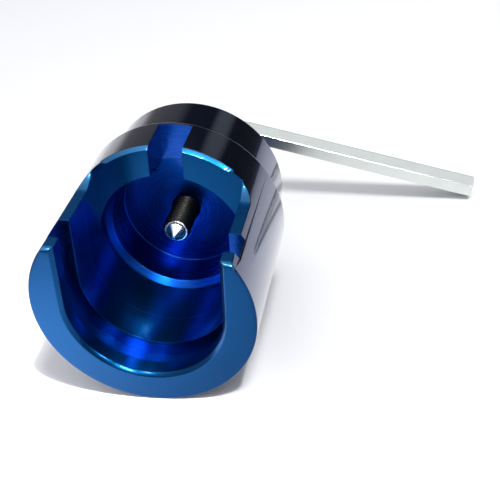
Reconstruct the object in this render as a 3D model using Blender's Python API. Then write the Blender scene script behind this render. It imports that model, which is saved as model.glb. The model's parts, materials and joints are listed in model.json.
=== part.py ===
"""Screw-type puller, lying on its side with its hex key plugged in.

Metres, +Z up, z = 0 is the table. The tool's axis runs along Y, mouth end first.
Pieces: puller_body, thrust_point, jack_screw and hex_key.
"""
import math

import bmesh
import bpy
from mathutils import Vector

MM = 0.001

# ---- body, distances along the axis are measured from the mouth's front face ----
BODY_RADIUS = 22.5 * MM
BODY_LENGTH = 50.0 * MM
HUB_RADIUS = 20.0 * MM           # rear section, turned down behind the step
STEP_Y = 35.2 * MM
EDGE_BREAK = 0.4 * MM
HUB_CHAMFER = 1.0 * MM

RING_FACE_Y = 24.7 * MM          # the mouth ends here and the full tube begins
CUT_HEIGHT = 13.55 * MM          # rails either side of the open mouth, above the axis
RAIL_SWEEP = 5.0 * MM            # radius in which the rails rise to the ring face
TIP_ROUND = 1.0 * MM             # on the rails' front ends
BORE_RADIUS = 15.75 * MM         # one bore for the mouth's round bottom and the ring
MOUTH_HALF_WIDTH = 15.745 * MM   # above the axis the mouth is opened straight up, flush with the bore
LIP_THICKNESS = 3.8 * MM
LIP_CHAMFER = 0.8 * MM
GROOVE_END_Y = 9.6 * MM          # slot that takes a flywheel's or wheel's rim
GROOVE_HALF_WIDTH = 19.0 * MM    # breaks through the body's side just under the rails

CUP_RADIUS = 14.3 * MM
CUP_LEDGE_Y = 28.2 * MM          # the bore narrows to the cup here
CUP_LEDGE_END_Y = 29.4 * MM
CUP_FLOOR_Y = 37.2 * MM

SLOT_WIDTH = 7.0 * MM            # sight slot in the ring's top wall
SLOT_END_Y = 34.3 * MM

# ---- jack screw, M6 x 25 with a 5 mm hex socket ----
SCREW_RADIUS = 2.95 * MM
SCREW_LENGTH = 25.0 * MM
SCREW_TIP_Y = 28.0 * MM
SCREW_CHAMFER = 0.5 * MM
HEAD_RADIUS = 5.0 * MM
HEAD_HEIGHT = 6.0 * MM
SOCKET_DEPTH = 3.3 * MM
FIT_GAP = 0.3 * MM               # between faces that bear or slide on each other
TAP_RADIUS = SCREW_RADIUS + FIT_GAP

# ---- thrust point, a centre pin that turns freely in the screw's end ----
PIN_RADIUS = 1.5 * MM
PIN_LENGTH = 6.0 * MM
CONE_RADIUS = 2.1 * MM
CONE_HEIGHT = 1.8 * MM
CONE_FLAT_RADIUS = 0.35 * MM

# ---- hex key ----
KEY_FLATS = 5.0 * MM             # across flats
KEY_ARM_Y = 76.5 * MM            # centreline of the long arm
KEY_REACH = 66.0 * MM            # from the screw's axis to the arm's end
KEY_BEND_RADIUS = 7.5 * MM
KEY_CHAMFER = 0.2 * MM

# ---- pose on the table ----
KEY_BELOW_MOUTH_LEVEL = math.radians(11.45)   # arm's droop measured square to the mouth

# ---- fineness ----
BODY_SEGMENTS = 96
SMALL_SEGMENTS = 48
ARC_SEGMENTS = 32
BEND_SEGMENTS = 10
SWEEP_SEGMENTS = 8
TIP_SEGMENTS = 4
SMOOTH_ANGLE = math.radians(30)
MERGE_DISTANCE = 0.0001 * MM
OVERCUT = 5.0 * MM               # how far a cutter runs past what it cuts

HEX_CORNER = KEY_FLATS / math.sqrt(3)       # centre to corner
END_CORNER = (KEY_FLATS - 2 * KEY_CHAMFER) / math.sqrt(3)


def key_droop():
    """Slope at which the arm's lowest corner just meets the table."""
    contact = KEY_REACH - KEY_CHAMFER
    reach = math.hypot(contact, HEX_CORNER)
    return math.asin(BODY_RADIUS / reach) - math.atan2(HEX_CORNER, contact)


KEY_DROOP = key_droop()
BODY_ROLL = KEY_DROOP - KEY_BELOW_MOUTH_LEVEL
KEY_END_X = KEY_REACH * math.cos(KEY_DROOP) + END_CORNER * math.sin(KEY_DROOP)
KEY_BACK_Y = KEY_ARM_Y + KEY_FLATS / 2

# The origin is the middle of the whole tool's footprint, on the table.
AXIS_POINT = Vector((-(KEY_END_X - BODY_RADIUS) / 2, -KEY_BACK_Y / 2, BODY_RADIUS))


def clear_scene():
    for old in list(bpy.data.objects):
        bpy.data.objects.remove(old, do_unlink=True)


def material(name, colour, roughness, metallic=1.0):
    made = bpy.data.materials.new(name)
    made.use_nodes = True
    shader = made.node_tree.nodes["Principled BSDF"]
    shader.inputs["Base Color"].default_value = (*colour, 1.0)
    shader.inputs["Roughness"].default_value = roughness
    shader.inputs["Metallic"].default_value = metallic
    return made


def new_object(name, shape, parent, finish=None):
    bmesh.ops.remove_doubles(shape, verts=shape.verts, dist=MERGE_DISTANCE)
    bmesh.ops.recalc_face_normals(shape, faces=shape.faces)
    mesh = bpy.data.meshes.new(name)
    shape.to_mesh(mesh)
    shape.free()
    mesh.shade_smooth()
    mesh.set_sharp_from_angle(angle=SMOOTH_ANGLE)
    made = bpy.data.objects.new(name, mesh)
    bpy.context.scene.collection.objects.link(made)
    made.parent = parent
    if finish:
        mesh.materials.append(finish)
    return made


def empty(name, location, turn):
    made = bpy.data.objects.new(name, None)
    made.location = location
    made.rotation_euler = (0, turn, 0)
    bpy.context.scene.collection.objects.link(made)
    return made


def turned(profile, segments):
    """Solid of revolution about Y from (radius, y) points, closed or with both ends on the axis."""
    shape = bmesh.new()
    points = [shape.verts.new((radius, y, 0)) for radius, y in profile]
    edges = [shape.edges.new(pair) for pair in zip(points, points[1:])]
    bmesh.ops.spin(shape, geom=points + edges, axis=(0, 1, 0), cent=(0, 0, 0),
                   angle=2 * math.pi, steps=segments, use_merge=True)
    return shape


def loft(outlines):
    """Closed solid through outlines of equal length, one after another, capped at both ends."""
    shape = bmesh.new()
    rings = [[shape.verts.new(point) for point in outline] for outline in outlines]
    for near, far in zip(rings, rings[1:]):
        for i in range(len(near)):
            j = (i + 1) % len(near)
            shape.faces.new((near[i], near[j], far[j], far[i]))
    shape.faces.new(rings[0])
    shape.faces.new(reversed(rings[-1]))
    return shape


def arc(centre, radius, start, end, steps):
    """Points on an arc, angles in degrees from the first axis towards the second."""
    angles = [math.radians(start + (end - start) * i / steps) for i in range(steps + 1)]
    return [(centre[0] + radius * math.cos(angle), centre[1] + radius * math.sin(angle)) for angle in angles]


def mouth_outline(half_width, y):
    """U outline in the plane y: round bottom, straight sides that run up past the rails."""
    top = BODY_RADIUS + OVERCUT
    bottom = arc((0, 0), half_width, 0, -180, ARC_SEGMENTS)
    points = [(half_width, top)] + bottom + [(-half_width, top)]
    return [Vector((x, y, z)) for x, z in points]


def chamfer_outline(y):
    """The lip chamfer above the axis, in the plane y, 45 degrees to the front face."""
    half_width = MOUTH_HALF_WIDTH + LIP_CHAMFER - y
    top = BODY_RADIUS + OVERCUT
    return [Vector((x, y, z)) for x, z in ((half_width, top), (half_width, 0), (-half_width, 0), (-half_width, top))]


def opening_outline(x):
    """Side view of what is milled away above the rails, from their tips to the ring face."""
    top = BODY_RADIUS + OVERCUT
    tip = arc((TIP_ROUND, CUT_HEIGHT - TIP_ROUND), TIP_ROUND, 180, 90, TIP_SEGMENTS)
    sweep = arc((RING_FACE_Y - RAIL_SWEEP, CUT_HEIGHT + RAIL_SWEEP), RAIL_SWEEP, 270, 360, SWEEP_SEGMENTS)
    points = [(-OVERCUT, top), (-OVERCUT, CUT_HEIGHT - TIP_ROUND)] + tip + sweep + [(RING_FACE_Y, top)]
    return [Vector((x, y, z)) for y, z in points]


def box(x_range, y_range, z_range):
    shape = bmesh.new()
    bmesh.ops.create_cube(shape, size=1.0)
    lows = [low for low, _ in (x_range, y_range, z_range)]
    highs = [high for _, high in (x_range, y_range, z_range)]
    for vert in shape.verts:
        vert.co = Vector([low if value < 0 else high
                          for value, low, high in zip(vert.co, lows, highs)])
    return shape


def hexagon(across_flats):
    """Corners in a plane, with two of them on the second axis."""
    corner = across_flats / math.sqrt(3)
    angles = [math.radians(90 + 60 * i) for i in range(6)]
    return [(corner * math.cos(angle), corner * math.sin(angle)) for angle in angles]


def cut(target, name, shape):
    """Takes the shape out of the target with a hidden cutter."""
    cutter = new_object(name, shape, target.parent)
    cutter.hide_render = True
    cutter.display_type = "WIRE"
    boolean = target.modifiers.new(name, "BOOLEAN")
    boolean.operation = "DIFFERENCE"
    boolean.solver = "EXACT"
    boolean.object = cutter


def make_body(frame):
    profile = [
        (BORE_RADIUS + LIP_CHAMFER, 0),
        (BODY_RADIUS - EDGE_BREAK, 0),
        (BODY_RADIUS, EDGE_BREAK),
        (BODY_RADIUS, STEP_Y - EDGE_BREAK),
        (BODY_RADIUS - EDGE_BREAK, STEP_Y),
        (HUB_RADIUS, STEP_Y),
        (HUB_RADIUS, BODY_LENGTH - HUB_CHAMFER),
        (HUB_RADIUS - HUB_CHAMFER, BODY_LENGTH),
        (TAP_RADIUS + EDGE_BREAK, BODY_LENGTH),
        (TAP_RADIUS, BODY_LENGTH - EDGE_BREAK),
        (TAP_RADIUS, CUP_FLOOR_Y),
        (CUP_RADIUS, CUP_FLOOR_Y),
        (CUP_RADIUS, CUP_LEDGE_END_Y),
        (BORE_RADIUS, CUP_LEDGE_Y),
        (BORE_RADIUS, LIP_CHAMFER),
        (BORE_RADIUS + LIP_CHAMFER, 0),
    ]
    anodised = material("blue_anodised_aluminium", (0.01, 0.09, 0.42), 0.22)
    body = new_object("puller_body", turned(profile, BODY_SEGMENTS), frame, anodised)

    high = BODY_RADIUS + OVERCUT
    cut(body, "opening_cutter", loft([opening_outline(-high), opening_outline(high)]))
    width = MOUTH_HALF_WIDTH
    cut(body, "mouth_cutter", box((-width, width), (-OVERCUT, RING_FACE_Y), (0, high)))
    cut(body, "lip_chamfer_cutter", loft([chamfer_outline(-EDGE_BREAK), chamfer_outline(LIP_CHAMFER + EDGE_BREAK)]))
    cut(body, "groove_cutter", loft([mouth_outline(GROOVE_HALF_WIDTH, LIP_THICKNESS),
                                     mouth_outline(GROOVE_HALF_WIDTH, GROOVE_END_Y)]))
    half = SLOT_WIDTH / 2
    cut(body, "slot_cutter", box((-half, half), (GROOVE_END_Y, SLOT_END_Y), (0, high)))
    return body


def make_thrust_point(frame):
    base = SCREW_TIP_Y - FIT_GAP
    profile = [
        (0, base - CONE_HEIGHT),
        (CONE_FLAT_RADIUS, base - CONE_HEIGHT),
        (CONE_RADIUS, base),
        (PIN_RADIUS, base),
        (PIN_RADIUS, base + PIN_LENGTH),
        (0, base + PIN_LENGTH),
    ]
    steel = material("hardened_steel", (0.62, 0.62, 0.6), 0.18)
    return new_object("thrust_point", turned(profile, SMALL_SEGMENTS), frame, steel)


def make_jack_screw(frame):
    """The thread is kept as a plain shank at its outer diameter."""
    head_y = SCREW_TIP_Y + SCREW_LENGTH
    head_end = head_y + HEAD_HEIGHT
    bore = PIN_RADIUS + FIT_GAP
    bore_end = SCREW_TIP_Y + PIN_LENGTH
    profile = [
        (0, bore_end),
        (bore, bore_end),
        (bore, SCREW_TIP_Y),
        (SCREW_RADIUS - SCREW_CHAMFER, SCREW_TIP_Y),
        (SCREW_RADIUS, SCREW_TIP_Y + SCREW_CHAMFER),
        (SCREW_RADIUS, head_y),
        (HEAD_RADIUS, head_y),
        (HEAD_RADIUS, head_end - SCREW_CHAMFER),
        (HEAD_RADIUS - SCREW_CHAMFER, head_end),
        (0, head_end),
    ]
    black = material("black_oxide_steel", (0.06, 0.06, 0.06), 0.35)
    screw = new_object("jack_screw", turned(profile, SMALL_SEGMENTS), frame, black)
    socket = hexagon(KEY_FLATS + 2 * FIT_GAP)
    levels = (head_end - SOCKET_DEPTH, head_end + OVERCUT)
    cut(screw, "socket_cutter", loft([[Vector((x, y, z)) for x, z in socket] for y in levels]))
    return screw


def key_stations():
    """Centreline points, and the direction across the bar at each, in the plane of the bend."""
    start_y = SCREW_TIP_Y + SCREW_LENGTH + HEAD_HEIGHT - SOCKET_DEPTH + FIT_GAP
    bend_y = KEY_ARM_Y - KEY_BEND_RADIUS
    across_leg = Vector((1, 0, 0))
    across_arm = Vector((0, -1, 0))
    stations = [(Vector((0, start_y, 0)), across_leg, KEY_CHAMFER),
                (Vector((0, start_y + KEY_CHAMFER, 0)), across_leg, 0)]
    for i in range(BEND_SEGMENTS + 1):
        angle = math.pi / 2 * i / BEND_SEGMENTS
        along = Vector((1 - math.cos(angle), math.sin(angle), 0)) * KEY_BEND_RADIUS
        across = Vector((math.cos(angle), -math.sin(angle), 0))
        stations.append((Vector((0, bend_y, 0)) + along, across, 0))
    stations.append((Vector((KEY_REACH - KEY_CHAMFER, KEY_ARM_Y, 0)), across_arm, 0))
    stations.append((Vector((KEY_REACH, KEY_ARM_Y, 0)), across_arm, KEY_CHAMFER))
    return stations


def make_hex_key(frame):
    outlines = []
    for centre, across, shrink in key_stations():
        section = hexagon(KEY_FLATS - 2 * shrink)
        outlines.append([centre + across * u + Vector((0, 0, w)) for u, w in section])
    nickel = material("nickel_plated_steel", (0.72, 0.75, 0.72), 0.25)
    return new_object("hex_key", loft(outlines), frame, nickel)


def main():
    clear_scene()
    body_frame = empty("body_frame", AXIS_POINT, BODY_ROLL)
    screw_frame = empty("screw_frame", AXIS_POINT, KEY_DROOP)
    make_body(body_frame)
    make_thrust_point(screw_frame)
    make_jack_screw(screw_frame)
    make_hex_key(screw_frame)
    bpy.context.view_layer.update()


main()
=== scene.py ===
"""Looks of the screw puller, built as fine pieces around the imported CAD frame.

Metres, +Z up, the floor is z = 0. Each turned piece is made in its own axes first, with Y along the
tool's axis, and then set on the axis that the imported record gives.
"""
import json
import math

import bmesh
import bpy
from mathutils import Matrix, Vector


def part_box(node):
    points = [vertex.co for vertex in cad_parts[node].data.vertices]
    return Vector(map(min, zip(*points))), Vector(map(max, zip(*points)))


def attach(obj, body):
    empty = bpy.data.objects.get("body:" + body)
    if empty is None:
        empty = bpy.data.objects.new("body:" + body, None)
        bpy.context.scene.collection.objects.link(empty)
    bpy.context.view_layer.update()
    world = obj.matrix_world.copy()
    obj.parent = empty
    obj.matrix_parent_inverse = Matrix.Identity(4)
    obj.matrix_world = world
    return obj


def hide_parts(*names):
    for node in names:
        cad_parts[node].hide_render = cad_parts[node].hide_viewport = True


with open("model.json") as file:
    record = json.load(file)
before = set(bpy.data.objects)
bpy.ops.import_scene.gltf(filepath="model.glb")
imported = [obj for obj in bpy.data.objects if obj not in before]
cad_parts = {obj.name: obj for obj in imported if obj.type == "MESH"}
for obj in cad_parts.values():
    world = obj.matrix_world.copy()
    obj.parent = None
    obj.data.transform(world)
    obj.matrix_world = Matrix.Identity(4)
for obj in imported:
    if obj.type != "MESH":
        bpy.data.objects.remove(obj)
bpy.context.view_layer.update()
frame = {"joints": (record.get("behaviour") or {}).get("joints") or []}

MM = 0.001

# ---- puller body, distances along the axis are measured from the mouth's front face ----
BODY_RADIUS = 22.5 * MM
BODY_LENGTH = 50.0 * MM
HUB_RADIUS = 20.0 * MM
STEP_Y = 35.2 * MM
EDGE_ROUND = 0.4 * MM
HUB_CHAMFER = 1.0 * MM
RING_FACE_Y = 24.7 * MM
RING_CHAMFER = 0.8 * MM
RING_CHAMFER_END = 17.8 * MM         # height above the axis at which that chamfer stops
CUT_HEIGHT = 13.55 * MM              # of the rails above the axis
RAIL_SWEEP = 5.0 * MM
TIP_ROUND = 1.0 * MM
BORE_RADIUS = 15.75 * MM
MOUTH_HALF_WIDTH = 15.745 * MM       # just inside the bore, so that their faces don't coincide
LIP_THICKNESS = 3.8 * MM
LIP_CHAMFER = 0.8 * MM
GROOVE_END_Y = 9.6 * MM
GROOVE_HALF_WIDTH = 19.0 * MM
CUP_RADIUS = 14.3 * MM
CUP_LEDGE_Y = 28.2 * MM
CUP_LEDGE_END_Y = 29.4 * MM
CUP_FLOOR_Y = 37.2 * MM
CUP_FILLET = 0.3 * MM
SLOT_WIDTH = 7.0 * MM
SLOT_END_Y = 34.3 * MM
HOLE_RADIUS = 3.25 * MM
EDGE_BEVEL = 0.14 * MM
TAPER_TOP = 4.0 * MM                 # up to this height the ring face is too thin for a bevel

# ---- jack screw ----
SCREW_RADIUS = 2.95 * MM
THREAD_DEPTH = 0.55 * MM
THREAD_PITCH = 1.0 * MM
THREAD_ROOT = 0.12                   # flat root and sloped flank, as shares of half a pitch
THREAD_FLANK = 0.72
SCREW_LENGTH = 25.0 * MM
SCREW_TIP_Y = 28.0 * MM
TIP_CHAMFER = 0.5 * MM
TIP_EDGE = 0.1 * MM
TIP_FACING = 0.6                     # how far a face points along the axis to be bare at the tip
HEAD_RADIUS = 5.0 * MM
HEAD_HEIGHT = 6.0 * MM
HEAD_CHAMFER = 0.5 * MM
KNURL_DEPTH = 0.14 * MM
KNURL_COUNT = 48
SOCKET_DEPTH = 3.3 * MM
SOCKET_FLATS = 5.2 * MM

# ---- thrust point ----
PIN_RADIUS = 1.5 * MM
PIN_LENGTH = 6.0 * MM
PIN_BORE_RADIUS = 1.8 * MM
CONE_RADIUS = 2.1 * MM
CONE_HEIGHT = 1.8 * MM
CONE_FLAT_RADIUS = 0.35 * MM
CONE_EDGE = 0.08 * MM
FIT_GAP = 0.3 * MM

# ---- hex key ----
KEY_FLATS = 5.0 * MM
KEY_ARM_Y = 76.5 * MM
KEY_REACH = 66.0 * MM
KEY_BEND_RADIUS = 7.5 * MM
KEY_CHAMFER = 0.2 * MM
KEY_CORNER_ROUND = 0.3 * MM
KEY_BELOW_MOUTH_LEVEL = math.radians(11.45)     # slope of the arm seen from the body's own level

# ---- fineness ----
BODY_SEGMENTS = 256
SMALL_SEGMENTS = 96
THREAD_SEGMENTS = 64
THREAD_ROWS = 10
HEAD_SEGMENTS = 4 * KNURL_COUNT
ARC_SEGMENTS = 96
BEND_SEGMENTS = 28
SWEEP_SEGMENTS = 24
TIP_SEGMENTS = 8
ROUND_SEGMENTS = 4
BEVEL_SEGMENTS = 2
FLOOR_SEGMENTS = 96
SHARP_ANGLE = math.radians(28)
MERGE_DISTANCE = 0.002 * MM
WELD_DISTANCE = 0.01 * MM            # for the slivers that a boolean leaves
OVERCUT = 5.0 * MM
WEDGE_GAP = 2.0 * MM                 # between the ring's wedge cutter and the ring face's plane

# ---- camera, from the middle of the mouth's front face ----
CAMERA_OFFSET = Vector((57.38, -125.80, 104.31)) * MM
CAMERA_FORWARD = Vector((-0.2160, 0.7960, -0.5660))
CAMERA_UP = Vector((0.0030, 0.5800, 0.8150))
CAMERA_LENS = 64.8
SENSOR_WIDTH = 36.0
CAMERA_NEAR = 0.01


# ---------------------------------------------------------------- places from the frame

def joint(name):
    return next(found for found in frame["joints"] if found["name"] == name)


def key_droop():
    """Slope at which the arm's lowest corner just meets the floor."""
    corner = KEY_FLATS / math.sqrt(3)
    contact = KEY_REACH - KEY_CHAMFER
    reach = math.hypot(contact, corner)
    return math.asin(BODY_RADIUS / reach) - math.atan2(corner, contact)


AXIS_X, _, AXIS_Z = joint("screw_turn")["pos_m"]
MOUTH_CENTRE = Vector((AXIS_X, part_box("puller_body")[0].y, AXIS_Z))
KEY_DROOP = key_droop()
BODY_ROLL = KEY_DROOP - KEY_BELOW_MOUTH_LEVEL
BODY_PLACE = Matrix.Translation(MOUTH_CENTRE) @ Matrix.Rotation(BODY_ROLL, 4, "Y")
SCREW_PLACE = Matrix.Translation(MOUTH_CENTRE) @ Matrix.Rotation(KEY_DROOP, 4, "Y")


# ---------------------------------------------------------------- mesh helpers

def new_object(name, shape, place=None, materials=()):
    """Object at the origin, whose mesh is already where it belongs."""
    bmesh.ops.remove_doubles(shape, verts=shape.verts, dist=MERGE_DISTANCE)
    bmesh.ops.recalc_face_normals(shape, faces=shape.faces)
    if place:
        bmesh.ops.transform(shape, matrix=place, verts=shape.verts)
    mesh = bpy.data.meshes.new(name)
    shape.to_mesh(mesh)
    shape.free()
    mesh.shade_smooth()
    mesh.set_sharp_from_angle(angle=SHARP_ANGLE)
    made = bpy.data.objects.new(name, mesh)
    bpy.context.scene.collection.objects.link(made)
    for finish in materials:
        mesh.materials.append(finish)
    return made


def weigh_normals(target):
    """Keeps large faces evenly lit beside their rounded edges."""
    weighted = target.modifiers.new("weighted_normals", "WEIGHTED_NORMAL")
    weighted.keep_sharp = True
    weighted.weight = 80


def arc(centre, radius, start, end, steps):
    """Points on an arc, angles in degrees from +first axis towards +second."""
    angles = [math.radians(start + (end - start) * i / steps) for i in range(steps + 1)]
    return [(centre[0] + radius * math.cos(angle), centre[1] + radius * math.sin(angle)) for angle in angles]


def turned(profile, segments):
    """Solid of revolution about Y from (radius, y) points, closed or with both ends on the axis."""
    shape = bmesh.new()
    points = [shape.verts.new((radius, y, 0)) for radius, y in profile]
    edges = [shape.edges.new(pair) for pair in zip(points, points[1:])]
    bmesh.ops.spin(shape, geom=points + edges, axis=(0, 1, 0), cent=(0, 0, 0),
                   angle=2 * math.pi, steps=segments, use_merge=True)
    return shape


def skin(shape, near, far):
    """Faces between two loops with as many vertices, which start side by side."""
    for i in range(len(near)):
        j = (i + 1) % len(near)
        shape.faces.new((near[i], near[j], far[j], far[i]))


def loft(outlines):
    """Closed solid through outlines of equal length, one after another, capped at both ends."""
    shape = bmesh.new()
    rings = [[shape.verts.new(point) for point in outline] for outline in outlines]
    for near, far in zip(rings, rings[1:]):
        skin(shape, near, far)
    shape.faces.new(rings[0])
    shape.faces.new(reversed(rings[-1]))
    return shape


def box(x_range, y_range, z_range):
    """Block between the two ends of each range."""
    shape = bmesh.new()
    bmesh.ops.create_cube(shape, size=1.0)
    lows = [low for low, _ in (x_range, y_range, z_range)]
    highs = [high for _, high in (x_range, y_range, z_range)]
    for vert in shape.verts:
        vert.co = Vector([low if value < 0 else high
                          for value, low, high in zip(vert.co, lows, highs)])
    return shape


def boolean(target, cutter, operation="DIFFERENCE"):
    """Adds the cut, which settle() carries out."""
    modifier = target.modifiers.new(cutter.name, "BOOLEAN")
    modifier.operation = operation
    modifier.solver = "EXACT"
    modifier.object = cutter


def cutter(shape, name="cutter"):
    return new_object(name, shape)


def settle(target, cutters):
    """Applies the target's modifiers and takes the cutters away."""
    bpy.context.view_layer.update()
    depsgraph = bpy.context.evaluated_depsgraph_get()
    result = bpy.data.meshes.new_from_object(target.evaluated_get(depsgraph))
    target.modifiers.clear()
    target.data = result
    for used in cutters:
        bpy.data.objects.remove(used)


# ---------------------------------------------------------------- puller body

def mouth_outline(half_width, y):
    """U outline in the plane y: round bottom, straight sides that run up past the flat."""
    top = BODY_RADIUS + OVERCUT
    points = [Vector((half_width, y, top))]
    for x, z in arc((0, 0), half_width, 0, -180, ARC_SEGMENTS):
        points.append(Vector((x, y, z)))
    points.append(Vector((-half_width, y, top)))
    return points


def body_profile():
    """Closed half section of the turned blank, as (radius, y) points from the mouth's inner edge round."""
    edge = EDGE_ROUND
    profile = [(BORE_RADIUS + LIP_CHAMFER, 0)]
    profile += arc((BODY_RADIUS - edge, edge), edge, -90, 0, ROUND_SEGMENTS)
    profile += arc((BODY_RADIUS - edge, STEP_Y - edge), edge, 0, 90, ROUND_SEGMENTS)
    profile += arc((HUB_RADIUS + edge, STEP_Y + edge), edge, 270, 180, ROUND_SEGMENTS)
    profile += [
        (HUB_RADIUS, BODY_LENGTH - HUB_CHAMFER),
        (HUB_RADIUS - HUB_CHAMFER, BODY_LENGTH),
        (HOLE_RADIUS + edge, BODY_LENGTH),
        (HOLE_RADIUS, BODY_LENGTH - edge),
        (HOLE_RADIUS, CUP_FLOOR_Y),
    ]
    corner = (CUP_RADIUS - CUP_FILLET, CUP_FLOOR_Y - CUP_FILLET)
    profile += arc(corner, CUP_FILLET, 90, 0, ROUND_SEGMENTS)
    profile += [
        (CUP_RADIUS, CUP_LEDGE_END_Y),
        (BORE_RADIUS, CUP_LEDGE_Y),
        (BORE_RADIUS, LIP_CHAMFER),
        (BORE_RADIUS + LIP_CHAMFER, 0),
    ]
    return profile


def opening_outline(x):
    """Side view of what is milled away above the rails, from their tips to the ring face."""
    top = BODY_RADIUS + OVERCUT
    tip = arc((TIP_ROUND, CUT_HEIGHT - TIP_ROUND), TIP_ROUND, 180, 90, TIP_SEGMENTS)
    sweep = arc((RING_FACE_Y - RAIL_SWEEP, CUT_HEIGHT + RAIL_SWEEP), RAIL_SWEEP, 270, 360, SWEEP_SEGMENTS)
    front = [(-OVERCUT, top), (-OVERCUT, CUT_HEIGHT - TIP_ROUND)]
    return [Vector((x, y, z)) for y, z in front + tip + sweep + [(RING_FACE_Y, top)]]


def chamfer_outline(y):
    """The lip chamfer above the axis, in the plane y, 45 degrees to the front face."""
    half_width = MOUTH_HALF_WIDTH + LIP_CHAMFER - y
    top = BODY_RADIUS + OVERCUT
    corners = ((half_width, top), (half_width, 0), (-half_width, 0), (-half_width, top))
    return [Vector((x, y, z)) for x, z in corners]


def is_convex(edge):
    """On a ridge and not in a corner."""
    return len(edge.link_faces) == 2 and edge.calc_face_angle_signed(0) > 0


def bevel_edges(target, width, wanted):
    """Breaks the wanted ones of the sharp outer edges."""
    shape = bmesh.new()
    shape.from_mesh(target.data)
    bmesh.ops.remove_doubles(shape, verts=shape.verts, dist=WELD_DISTANCE)
    chosen = [edge for edge in shape.edges
              if is_convex(edge) and edge.calc_face_angle(0) > SHARP_ANGLE and wanted(edge)]
    bmesh.ops.bevel(shape, geom=chosen, offset=width, offset_type="OFFSET", segments=BEVEL_SEGMENTS,
                    profile=0.5, affect="EDGES", clamp_overlap=False)
    bmesh.ops.recalc_face_normals(shape, faces=shape.faces)
    shape.to_mesh(target.data)
    shape.free()


def ring_chamfer_cutter():
    """Wedge for the ring face's outer edge, clear of that face's plane and only above the chamfer's end."""
    reach = BODY_RADIUS + OVERCUT
    inner_y = RING_FACE_Y - WEDGE_GAP
    profile = [
        (0, RING_FACE_Y - OVERCUT),
        (reach, RING_FACE_Y - OVERCUT),
        (reach, RING_FACE_Y + RING_CHAMFER + OVERCUT),
        (BODY_RADIUS - RING_CHAMFER - WEDGE_GAP, inner_y),
        (0, inner_y),
    ]
    wedge = cutter(turned(profile, BODY_SEGMENTS), "ring_wedge")
    high = BODY_RADIUS + 2 * OVERCUT
    upper_part = cutter(box((-high, high), (0, 2 * RING_FACE_Y), (RING_CHAMFER_END, high)), "upper_part")
    boolean(wedge, upper_part, "INTERSECT")
    settle(wedge, [upper_part])
    return wedge


def is_free_edge(edge):
    """The ring face tapers off where the bore meets the mouth's sides, and has no room for a bevel."""
    middle = (edge.verts[0].co + edge.verts[1].co) / 2
    at_ring_face = abs(middle.y - RING_FACE_Y) < EDGE_ROUND
    return not (at_ring_face and middle.z < TAPER_TOP)


# Slots for the body's copies of one anodised colour, most of them tinted darker as painted shade.
OUTSIDE, FRONT, RING, INSIDE, EDGE, CUP = range(6)
FLAT = 0.9              # how far a face points along the axis to count as flat
OUTWARD = 0.9           # how far a face points away from the axis to count as an outer one
NEAR_CHAMFER = 1.2      # reach round a chamfer, in its own widths
NEAR_PLANE = 0.05 * MM
ABOVE_RAILS = 0.1 * MM


def is_on_rim(face, radius):
    """On the ring's outer chamfer or on a rounded rail tip."""
    reach = NEAR_CHAMFER * RING_CHAMFER
    at_tip = face.center.y < TIP_ROUND and face.center.z > CUT_HEIGHT - TIP_ROUND
    above_rails = face.center.z > CUT_HEIGHT + ABOVE_RAILS
    near_rim = radius > BODY_RADIUS - reach and face.center.y < RING_FACE_Y + reach
    return near_rim and (at_tip or above_rails)


def body_finish(face):
    """Which copy of the body's one anodised colour the face has, from the surface that it is on: the copies
    differ in finish and in tint, most of them tinted darker as painted shade.
    """
    x, y, z = face.center
    radius = math.hypot(x, z)
    outward = (face.normal.x * x + face.normal.z * z) / max(radius, MM)
    flat = abs(face.normal.y) > FLAT
    if outward > OUTWARD and radius > HUB_RADIUS - HUB_CHAMFER and y > EDGE_ROUND / 2:
        return OUTSIDE
    # Cup faces get the cup copy, tinted darker as painted shade.
    if y > CUP_LEDGE_Y and radius < BORE_RADIUS + EDGE_ROUND / 4 and outward < 0.5:
        return CUP
    # The groove's and slot's end walls also get the cup copy, as painted shade.
    if flat and min(abs(y - GROOVE_END_Y), abs(y - SLOT_END_Y)) < EDGE_ROUND:
        return CUP
    if is_on_rim(face, radius) and not flat:
        return EDGE
    if y < NEAR_CHAMFER * LIP_CHAMFER:
        return FRONT
    if flat and abs(y - RING_FACE_Y) < NEAR_PLANE:
        return RING
    if y > STEP_Y and face.normal.y > 0.5:
        return OUTSIDE
    return INSIDE


def make_body(materials):
    """Turned blank with the mouth, lip chamfer, groove, ring chamfer and slot cut into it."""
    high = BODY_RADIUS + OVERCUT
    half = SLOT_WIDTH / 2
    body = new_object("puller_body_turned", turned(body_profile(), BODY_SEGMENTS), materials=materials)
    width = MOUTH_HALF_WIDTH
    groove = [mouth_outline(GROOVE_HALF_WIDTH, y) for y in (LIP_THICKNESS, GROOVE_END_Y)]
    cutters = [
        cutter(loft([opening_outline(-high), opening_outline(high)])),
        cutter(box((-width, width), (-OVERCUT, RING_FACE_Y), (0, high))),
        cutter(loft([chamfer_outline(-EDGE_ROUND), chamfer_outline(LIP_CHAMFER + EDGE_ROUND)])),
        cutter(loft(groove)),
        ring_chamfer_cutter(),
        cutter(box((-half, half), (GROOVE_END_Y, SLOT_END_Y), (0, high))),
    ]
    for used in cutters:
        boolean(body, used)
    settle(body, cutters)
    bevel_edges(body, EDGE_BEVEL, is_free_edge)
    body.data.shade_smooth()
    body.data.set_sharp_from_angle(angle=SHARP_ANGLE)
    for face in body.data.polygons:
        face.material_index = body_finish(face)
    body.data.transform(BODY_PLACE)
    weigh_normals(body)
    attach(body, "puller_body")
    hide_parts("puller_body")


# ---------------------------------------------------------------- jack screw

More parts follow.
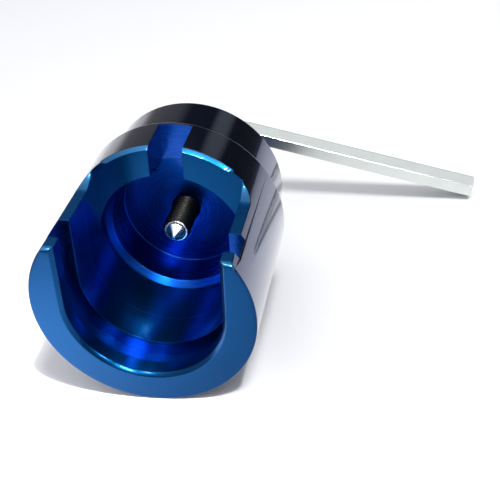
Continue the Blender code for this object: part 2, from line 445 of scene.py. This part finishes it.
def thread_radius(angle, y):
    """Radius of the thread at that angle and distance along the axis: V ridges with flats."""
    phase = ((y - SCREW_TIP_Y) / THREAD_PITCH + angle / (2 * math.pi)) % 1.0
    height = abs(phase - 0.5) * 2
    ridge = min(max((height - THREAD_ROOT) / THREAD_FLANK, 0.0), 1.0)
    radius = SCREW_RADIUS - THREAD_DEPTH * (1 - ridge)
    return min(radius, SCREW_RADIUS - TIP_CHAMFER + (y - SCREW_TIP_Y))


def round_axis(shape, radius, angle, y):
    """Vertex at that angle round the tool's axis."""
    return shape.verts.new((radius * math.cos(angle), y, radius * math.sin(angle)))


def ring(shape, radius_at, y, count):
    """Closed loop of vertices round the axis, starting on its +X side."""
    angles = [2 * math.pi * i / count for i in range(count)]
    return [round_axis(shape, radius_at(angle), angle, y) for angle in angles]


def loop_edges(shape, verts):
    """Edges of a closed loop, made where they aren't there yet."""
    found = []
    for i in range(len(verts)):
        pair = (verts[i], verts[(i + 1) % len(verts)])
        found.append(shape.edges.get(pair) or shape.edges.new(pair))
    return found


def bridge(shape, near, far):
    """Faces between two loops that need not have the same number of vertices."""
    bmesh.ops.bridge_loops(shape, edges=loop_edges(shape, near) + loop_edges(shape, far))


def hexagon(across_flats, corner_round, corner_steps):
    """Outline with rounded corners, two of them on the second axis."""
    inner = across_flats / math.sqrt(3) - 2 * corner_round / math.sqrt(3)
    points = []
    for i in range(6):
        corner = 90 + 60 * i
        centre = (inner * math.cos(math.radians(corner)), inner * math.sin(math.radians(corner)))
        points += arc(centre, corner_round, corner - 30, corner + 30, corner_steps)
    return points


def thread(shape):
    """Threaded shank whose rows follow the helix. Returns its two end loops."""
    head_y = SCREW_TIP_Y + SCREW_LENGTH
    columns = THREAD_SEGMENTS
    last_row = round(SCREW_LENGTH / THREAD_PITCH * THREAD_ROWS) + THREAD_ROWS
    rows = []
    for row in range(last_row + 1):
        verts = []
        for i in range(columns):
            angle = 2 * math.pi * i / columns
            y = SCREW_TIP_Y + (row / THREAD_ROWS - i / columns) * THREAD_PITCH
            y = min(max(y, SCREW_TIP_Y), head_y)
            verts.append(round_axis(shape, thread_radius(angle, y), angle, y))
        rows.append(verts)
    for row in range(last_row):
        near = rows[row] + [rows[max(row - THREAD_ROWS, 0)][0]]
        far = rows[row + 1] + [rows[max(row + 1 - THREAD_ROWS, 0)][0]]
        for i in range(columns):
            corners = (near[i], near[i + 1], far[i + 1], far[i])
            if len(set(corners)) == 4:
                shape.faces.new(corners)
    bmesh.ops.remove_doubles(shape, verts=shape.verts, dist=MERGE_DISTANCE)
    return [end_loop(shape, y) for y in (SCREW_TIP_Y, head_y)]


def end_loop(shape, y):
    """Vertices at that distance along the axis, in the order that ring() makes them."""
    found = [vert for vert in shape.verts if abs(vert.co.y - y) < MERGE_DISTANCE]
    step = 2 * math.pi / THREAD_SEGMENTS
    return sorted(found, key=lambda vert: round(math.atan2(vert.co.z, vert.co.x) / step) % THREAD_SEGMENTS)


def knurl_radius(angle):
    """Radius of the screw head's knurled band at that angle."""
    groove = abs((angle * KNURL_COUNT / (2 * math.pi)) % 1.0 - 0.5) * 2
    return HEAD_RADIUS - KNURL_DEPTH * (1 - groove)


def make_screw(black, bright):
    """Threaded shank with a bore for the point's pin, and a knurled head with a hex socket."""
    head_y = SCREW_TIP_Y + SCREW_LENGTH
    head_end = head_y + HEAD_HEIGHT
    shape = bmesh.new()
    tip, shank_end = thread(shape)

    def plain(radius, y, count=THREAD_SEGMENTS):
        return ring(shape, lambda angle: radius, y, count)

    bore = [
        tip,
        plain(PIN_BORE_RADIUS + TIP_EDGE, SCREW_TIP_Y),
        plain(PIN_BORE_RADIUS, SCREW_TIP_Y + TIP_EDGE),
        plain(PIN_BORE_RADIUS, SCREW_TIP_Y + PIN_LENGTH),
    ]
    for near, far in zip(bore, bore[1:]):
        skin(shape, near, far)
    shape.faces.new(bore[-1])

    edge = 0.5 * HEAD_CHAMFER
    plain_band = head_y + 2 * edge
    head = [
        shank_end,
        plain(HEAD_RADIUS - edge, head_y, HEAD_SEGMENTS),
        plain(HEAD_RADIUS, head_y + edge, HEAD_SEGMENTS),
        plain(HEAD_RADIUS, plain_band, HEAD_SEGMENTS),
        ring(shape, knurl_radius, plain_band + edge, HEAD_SEGMENTS),
        ring(shape, knurl_radius, head_end - HEAD_CHAMFER - edge, HEAD_SEGMENTS),
        plain(HEAD_RADIUS - KNURL_DEPTH, head_end - HEAD_CHAMFER, HEAD_SEGMENTS),
        plain(HEAD_RADIUS - KNURL_DEPTH - HEAD_CHAMFER, head_end, HEAD_SEGMENTS),
        plain(SOCKET_FLATS / math.sqrt(3) + edge, head_end, SMALL_SEGMENTS),
    ]
    socket = hexagon(SOCKET_FLATS, KEY_CORNER_ROUND / 2, corner_steps=2)
    for y in (head_end - edge, head_end - SOCKET_DEPTH):
        head.append([shape.verts.new((x, y, z)) for x, z in socket])
    for near, far in zip(head, head[1:]):
        bridge(shape, near, far)
    shape.faces.new(head[-1])

    screw = new_object("jack_screw_fine", shape, SCREW_PLACE, (black, bright))
    tip_y = MOUTH_CENTRE.y + SCREW_TIP_Y
    for face in screw.data.polygons:
        at_tip = face.center.y < tip_y + TIP_CHAMFER / 2
        face.material_index = 1 if at_tip and abs(face.normal.y) > TIP_FACING else 0
    weigh_normals(screw)
    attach(screw, "jack_screw")
    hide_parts("jack_screw")


# ---------------------------------------------------------------- thrust point

def make_thrust_point(bright):
    """Blunt cone on a pin that sits in the screw's bore."""
    base = SCREW_TIP_Y - FIT_GAP
    point = base - CONE_HEIGHT
    profile = [
        (0, point),
        (CONE_FLAT_RADIUS - CONE_EDGE, point),
        (CONE_FLAT_RADIUS, point + CONE_EDGE),
        (CONE_RADIUS - CONE_EDGE, base - 2 * CONE_EDGE),
        (CONE_RADIUS, base - CONE_EDGE),
        (CONE_RADIUS - CONE_EDGE, base),
        (PIN_RADIUS, base),
        (PIN_RADIUS, base + PIN_LENGTH),
        (0, base + PIN_LENGTH),
    ]
    made = new_object("thrust_point_fine", turned(profile, SMALL_SEGMENTS), SCREW_PLACE, (bright,))
    weigh_normals(made)
    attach(made, "thrust_point")
    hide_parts("thrust_point")


# ---------------------------------------------------------------- hex key

def key_stations():
    """Centreline points, the direction across the bar at each, and how much the end is chamfered."""
    start_y = SCREW_TIP_Y + SCREW_LENGTH + HEAD_HEIGHT - SOCKET_DEPTH + FIT_GAP
    bend_y = KEY_ARM_Y - KEY_BEND_RADIUS
    across_leg = Vector((1, 0, 0))
    across_arm = Vector((0, -1, 0))
    stations = [(Vector((0, start_y, 0)), across_leg, KEY_CHAMFER),
                (Vector((0, start_y + KEY_CHAMFER, 0)), across_leg, 0)]
    for i in range(BEND_SEGMENTS + 1):
        angle = math.pi / 2 * i / BEND_SEGMENTS
        along = Vector((1 - math.cos(angle), math.sin(angle), 0)) * KEY_BEND_RADIUS
        across = Vector((math.cos(angle), -math.sin(angle), 0))
        stations.append((Vector((0, bend_y, 0)) + along, across, 0))
    stations.append((Vector((KEY_REACH - KEY_CHAMFER, KEY_ARM_Y, 0)), across_arm, 0))
    stations.append((Vector((KEY_REACH, KEY_ARM_Y, 0)), across_arm, KEY_CHAMFER))
    return stations


def make_hex_key(nickel):
    """Bent hexagonal bar, with its ends chamfered."""
    outlines = []
    for centre, across, shrink in key_stations():
        section = hexagon(KEY_FLATS - 2 * shrink, KEY_CORNER_ROUND, corner_steps=4)
        outlines.append([centre + across * u + Vector((0, 0, w)) for u, w in section])
    key = new_object("hex_key_fine", loft(outlines), SCREW_PLACE, (nickel,))
    weigh_normals(key)
    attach(key, "hex_key")
    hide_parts("hex_key")


# ---------------------------------------------------------------- materials

QUARTER_TURN = 0.25     # sheen spreads across the turning marks, not along them
FACING_AXIS = 0.7       # from here on a surface's marks are rings on a face, not lines round a bore


class Nodes:
    """Short ways to add and join the nodes of one material."""

    def __init__(self, name):
        self.material = bpy.data.materials.new(name)
        self.material.use_nodes = True
        self.tree = self.material.node_tree
        self.shader = self.tree.nodes["Principled BSDF"]

    def add(self, kind, inputs=(), **settings):
        """Node with its settings, and its inputs set to values or linked to sockets."""
        node = self.tree.nodes.new(kind)
        for name, value in settings.items():
            setattr(node, name, value)
        for socket, value in dict(inputs).items():
            self.put(node.inputs[socket], value)
        return node

    def put(self, socket, value):
        if isinstance(value, bpy.types.NodeSocket):
            self.tree.links.new(value, socket)
        else:
            socket.default_value = value

    def math(self, operation, *values):
        return self.add("ShaderNodeMath", dict(enumerate(values)), operation=operation).outputs[0]

    def noise(self, at, scale, detail, dimensions="3D", roughness=0.5):
        place = "W" if dimensions == "1D" else "Vector"
        inputs = {place: at, "Scale": scale, "Detail": detail, "Roughness": roughness}
        return self.add("ShaderNodeTexNoise", inputs, noise_dimensions=dimensions).outputs["Fac"]

    def between(self, factor, low, high):
        """Number that goes from low to high as the factor goes from 0 to 1."""
        inputs = {"Value": factor, "To Min": low, "To Max": high}
        return self.add("ShaderNodeMapRange", inputs).outputs["Result"]

    def set(self, **values):
        """Inputs of the shader, named with _ for each space."""
        for name, value in values.items():
            self.put(self.shader.inputs[name.replace("_", " ")], value)

    def bump(self, height, distance):
        return self.add("ShaderNodeBump", {"Height": height, "Distance": distance}).outputs["Normal"]


def tool_place(nodes, turn):
    """Coordinates from the mouth's centre, turned back about the axis, and the surface's normal."""
    source = nodes.add("ShaderNodeTexCoord")
    moved = nodes.add("ShaderNodeVectorMath", {0: source.outputs["Object"], 1: MOUTH_CENTRE},
                      operation="SUBTRACT")
    turned_back = nodes.add("ShaderNodeMapping", {"Vector": moved.outputs[0], "Rotation": (0, -turn, 0)})
    return turned_back.outputs[0], source.outputs["Normal"]


def tool_marks(nodes, per_metre):
    """The tool's coordinates, and random fine rings round its axis, on faces and in bores alike."""
    place, normal = tool_place(nodes, 0.0)
    point = nodes.add("ShaderNodeSeparateXYZ", {0: place})
    facing = nodes.add("ShaderNodeSeparateXYZ", {0: normal})
    x, y, z = point.outputs
    squares = nodes.math("ADD", nodes.math("MULTIPLY", x, x), nodes.math("MULTIPLY", z, z))
    radius = nodes.math("SQRT", squares)
    on_face = nodes.math("GREATER_THAN", nodes.math("ABSOLUTE", facing.outputs["Y"]), FACING_AXIS)
    along = nodes.add("ShaderNodeMix", {"Factor": on_face, "A": y, "B": radius}, data_type="FLOAT")
    return place, nodes.noise(along.outputs["Result"], per_metre, 3.0, "1D", 0.7)


def shade_mix(nodes, factor, colour, spread):
    """The colour, from darker to lighter by the spread as the factor goes from 0 to 1."""
    mix = nodes.add("ShaderNodeMix", {"Factor": factor}, data_type="RGBA")
    dark, light = [socket for socket in mix.inputs if socket.type == "RGBA"]
    dark.default_value = (*((1 - spread) * value for value in colour), 1.0)
    light.default_value = (*(min(1.0, (1 + spread) * value) for value in colour), 1.0)
    return next(socket for socket in mix.outputs if socket.type == "RGBA")


def anodised(name, tint, roughness, coat, mark_depth, anisotropic=0.0):
    """Dyed oxide layer over turned aluminium: a clear coat over a tinted metal."""
    nodes = Nodes(name)
    place, marks = tool_marks(nodes, 1400.0)
    cloud = nodes.noise(place, 90.0, 3.0)
    nodes.set(Base_Color=shade_mix(nodes, cloud, tint, 0.12), Metallic=1.0,
              Anisotropic=anisotropic, Anisotropic_Rotation=QUARTER_TURN,
              Coat_Weight=coat, Coat_Roughness=0.05, Coat_IOR=1.65,
              Roughness=nodes.between(marks, 0.8 * roughness, 1.2 * roughness),
              Normal=nodes.bump(marks, mark_depth))
    if anisotropic:
        tangent = nodes.add("ShaderNodeTangent", direction_type="RADIAL", axis="Y")
        nodes.put(nodes.shader.inputs["Tangent"], tangent.outputs[0])
    return nodes.material


def steel(name, colour, roughness, mark_depth):
    """Turned steel, with its tone and gloss a little worn."""
    nodes = Nodes(name)
    place, marks = tool_marks(nodes, 2500.0)
    wear = nodes.math("MULTIPLY", nodes.math("ADD", marks, nodes.noise(place, 900.0, 4.0)), 0.5)
    nodes.set(Base_Color=shade_mix(nodes, wear, colour, 0.25), Metallic=1.0,
              Roughness=nodes.between(wear, 0.7 * roughness, 1.3 * roughness),
              Normal=nodes.bump(marks, mark_depth))
    return nodes.material


def plated_bar(name, colour, roughness):
    """Nickel plate over drawn bar, with faint lines along it and a little unevenness."""
    nodes = Nodes(name)
    place, _ = tool_place(nodes, KEY_DROOP)
    stretched = nodes.add("ShaderNodeMapping", {"Vector": place, "Scale": (40.0, 1600.0, 1600.0)})
    lines = nodes.noise(stretched.outputs[0], 1.0, 3.0)
    mottle = nodes.noise(place, 220.0, 3.0)
    nodes.set(Base_Color=shade_mix(nodes, mottle, colour, 0.08), Metallic=1.0,
              Roughness=nodes.between(mottle, 0.75 * roughness, 1.25 * roughness),
              Normal=nodes.bump(lines, 0.004 * MM))
    return nodes.material


# ---------------------------------------------------------------- studio

FLOOR_RADIUS = 1.6


def make_floor():
    """Sheet of pale paper."""
    shape = bmesh.new()
    bmesh.ops.create_circle(shape, cap_ends=True, radius=FLOOR_RADIUS, segments=FLOOR_SEGMENTS)
    floor = new_object("floor", shape)
    nodes = Nodes("floor_paper")
    nodes.set(Base_Color=(0.86, 0.86, 0.87, 1.0), Roughness=0.75)
    floor.data.materials.append(nodes.material)


def towards(azimuth, elevation):
    """Direction, with azimuth from +Y towards +X and elevation above the floor, in degrees."""
    turn, rise = math.radians(azimuth), math.radians(elevation)
    return Vector((math.sin(turn) * math.cos(rise), math.cos(turn) * math.cos(rise), math.sin(rise)))


def place_light(data, direction, distance, aim):
    """Light at that distance and direction from what it is aimed at."""
    made = bpy.data.objects.new(data.name, data)
    bpy.context.scene.collection.objects.link(made)
    made.location = aim + direction * distance
    made.rotation_mode = "QUATERNION"
    made.rotation_quaternion = direction.to_track_quat("Z", "Y")
    made.visible_camera = False
    return made


def area_light(name, direction, distance, width, height, radiance, shows_in_metal=True):
    """Oval panel of the given radiance, aimed at the mouth, for the metal or for the paper."""
    data = bpy.data.lights.new(name, "AREA")
    data.shape = "ELLIPSE"
    data.size = width
    data.size_y = height
    data.energy = radiance * math.pi * math.pi / 4 * width * height
    placed = place_light(data, direction, distance, MOUTH_CENTRE)
    placed.visible_diffuse = not shows_in_metal
    placed.visible_glossy = shows_in_metal


def pool_light(name, direction, distance, aim, reach, watts, lamp_radius):
    """Beam with a soft edge that only brightens the paper, out to the reach from its aim."""
    data = bpy.data.lights.new(name, "SPOT")
    data.spot_size = 2 * math.atan(reach / distance)
    data.spot_blend = 1.0
    data.shadow_soft_size = lamp_radius
    data.energy = watts
    place_light(data, direction, distance, aim).visible_glossy = False


# What stands round the table: direction, reach and softness in degrees, and how bright it is.
ROOM_PATCHES = [
    ((-34, -15), 10, 14, (0.80, 0.79, 0.77)),
    ((-34, 20), 14, 10, (0.15, 0.145, 0.14)),
    ((17, 26), 2, 6, (0.26, 0.28, 0.26)),
    ((-115, 30), 25, 30, (0.45, 0.45, 0.47)),
    ((180, 20), 60, 50, (0.30, 0.31, 0.33)),
    ((0, 90), 30, 30, (0.75, 0.75, 0.77)),
]
ROOM_DARK = (0.035, 0.037, 0.045)
BACKDROP = (0.93, 0.93, 0.94)


def add_glow(tree, direction, patch, below):
    """Adds one bright patch to the colour below it, a socket or a plain colour."""
    (azimuth, elevation), reach, soft, colour = patch
    dot = tree.nodes.new("ShaderNodeVectorMath")
    dot.operation = "DOT_PRODUCT"
    tree.links.new(direction, dot.inputs[0])
    dot.inputs[1].default_value = towards(azimuth, elevation)
    mask = tree.nodes.new("ShaderNodeMapRange")
    mask.interpolation_type = "SMOOTHSTEP"
    tree.links.new(dot.outputs["Value"], mask.inputs["Value"])
    mask.inputs["From Min"].default_value = math.cos(math.radians(reach + soft))
    mask.inputs["From Max"].default_value = math.cos(math.radians(reach))
    glow = tree.nodes.new("ShaderNodeVectorMath")
    glow.operation = "MULTIPLY_ADD"
    glow.inputs[0].default_value = colour
    tree.links.new(mask.outputs[0], glow.inputs[1])
    if isinstance(below, bpy.types.NodeSocket):
        tree.links.new(below, glow.inputs[2])
    else:
        glow.inputs[2].default_value = below
    return glow.outputs[0]


def make_world():
    """Dim room with soft bright patches, and plain white where the camera looks past the floor."""
    world = bpy.data.worlds.new("studio")
    bpy.context.scene.world = world
    world.use_nodes = True
    tree = world.node_tree
    tree.nodes.clear()
    direction = tree.nodes.new("ShaderNodeTexCoord").outputs["Generated"]
    total = ROOM_DARK
    for patch in ROOM_PATCHES:
        total = add_glow(tree, direction, patch, total)
    room = tree.nodes.new("ShaderNodeBackground")
    tree.links.new(total, room.inputs["Color"])
    backdrop = tree.nodes.new("ShaderNodeBackground")
    backdrop.inputs["Color"].default_value = (*BACKDROP, 1.0)
    path = tree.nodes.new("ShaderNodeLightPath")
    mix = tree.nodes.new("ShaderNodeMixShader")
    tree.links.new(path.outputs["Is Camera Ray"], mix.inputs[0])
    tree.links.new(room.outputs[0], mix.inputs[1])
    tree.links.new(backdrop.outputs[0], mix.inputs[2])
    output = tree.nodes.new("ShaderNodeOutputWorld")
    tree.links.new(mix.outputs[0], output.inputs["Surface"])


def make_camera():
    """View from the front right and above, from where the mouth and the key both show."""
    data = bpy.data.cameras.new("camera")
    data.lens = CAMERA_LENS
    data.sensor_width = SENSOR_WIDTH
    data.clip_start = CAMERA_NEAR
    camera = bpy.data.objects.new("camera", data)
    bpy.context.scene.collection.objects.link(camera)
    back = -CAMERA_FORWARD.normalized()
    right = CAMERA_UP.cross(back).normalized()
    up = back.cross(right)
    turn = Matrix((right, up, back)).transposed()
    camera.matrix_world = Matrix.Translation(MOUTH_CENTRE + CAMERA_OFFSET) @ turn.to_4x4()
    bpy.context.scene.camera = camera


def body_tints_and_finishes():
    """In the order of OUTSIDE, FRONT, RING, INSIDE, EDGE and CUP: copies of one anodised colour that differ
    in finish and in tint, with inside and edges near its own tint and the other four tinted darker as
    painted shade.
    """
    # Outer tint darkened as painted shade, under a full clear coat.
    outside = anodised("anodised_outside_painted_shade", (0.001, 0.020, 0.100), roughness=0.18, coat=1.0,
                       mark_depth=0.0008 * MM)
    # Front face tint darkened as painted shade.
    front = anodised("anodised_front_face_painted_shade", (0.001, 0.036, 0.12), roughness=0.24, coat=0.06,
                     mark_depth=0.002 * MM)
    # Ring face tint darkened further, as painted shade.
    ring_face = anodised("anodised_ring_face_painted_shade", (0.0006, 0.026, 0.085), roughness=0.24, coat=0.02,
                         mark_depth=0.002 * MM)
    inside = anodised("anodised_inside", (0.0015, 0.120, 0.37), roughness=0.25, coat=0.06,
                      mark_depth=0.001 * MM, anisotropic=0.6)
    edge = anodised("anodised_edges", (0.004, 0.12, 0.30), roughness=0.30, coat=0.5,
                    mark_depth=0.0005 * MM)
    # Cup tint darkened as painted shade.
    cup = anodised("anodised_cup_painted_shade", (0.001, 0.032, 0.20), roughness=0.28, coat=0.06,
                   mark_depth=0.0005 * MM)
    return outside, front, ring_face, inside, edge, cup


def make_lights():
    """The lights for the metal stand before the tool, and those for the paper are higher up."""
    area_light("main_light", towards(162, 44), distance=0.7, width=0.20, height=0.09, radiance=95.0)
    area_light("side_light", towards(128, 32), distance=0.9, width=0.11, height=0.11, radiance=115.0)
    area_light("left_light", towards(-166, 54), distance=0.9, width=0.12, height=0.12, radiance=60.0)
    area_light("paper_light", towards(132, 66), distance=0.7, width=0.16, height=0.16, radiance=58.0,
               shows_in_metal=False)
    left_of_mouth = MOUTH_CENTRE + Vector((-40 * MM, -15 * MM, -BODY_RADIUS))
    pool_light("pool_light", towards(125, 63), distance=0.7, aim=left_of_mouth, reach=50 * MM,
               watts=98.0, lamp_radius=0.03)


def main():
    make_camera()
    tints_and_finishes = body_tints_and_finishes()
    black = steel("black_oxide_steel_fine", (0.020, 0.020, 0.019), roughness=0.30,
                  mark_depth=0.002 * MM)
    bright = steel("machined_steel_fine", (0.62, 0.63, 0.62), roughness=0.25, mark_depth=0.003 * MM)
    nickel = plated_bar("nickel_plate_fine", (0.62, 0.66, 0.63), roughness=0.22)
    make_body(tints_and_finishes)
    make_screw(black, bright)
    make_thrust_point(bright)
    make_hex_key(nickel)
    make_floor()
    make_world()
    make_lights()
    bpy.context.scene.view_settings.view_transform = "Standard"


main()
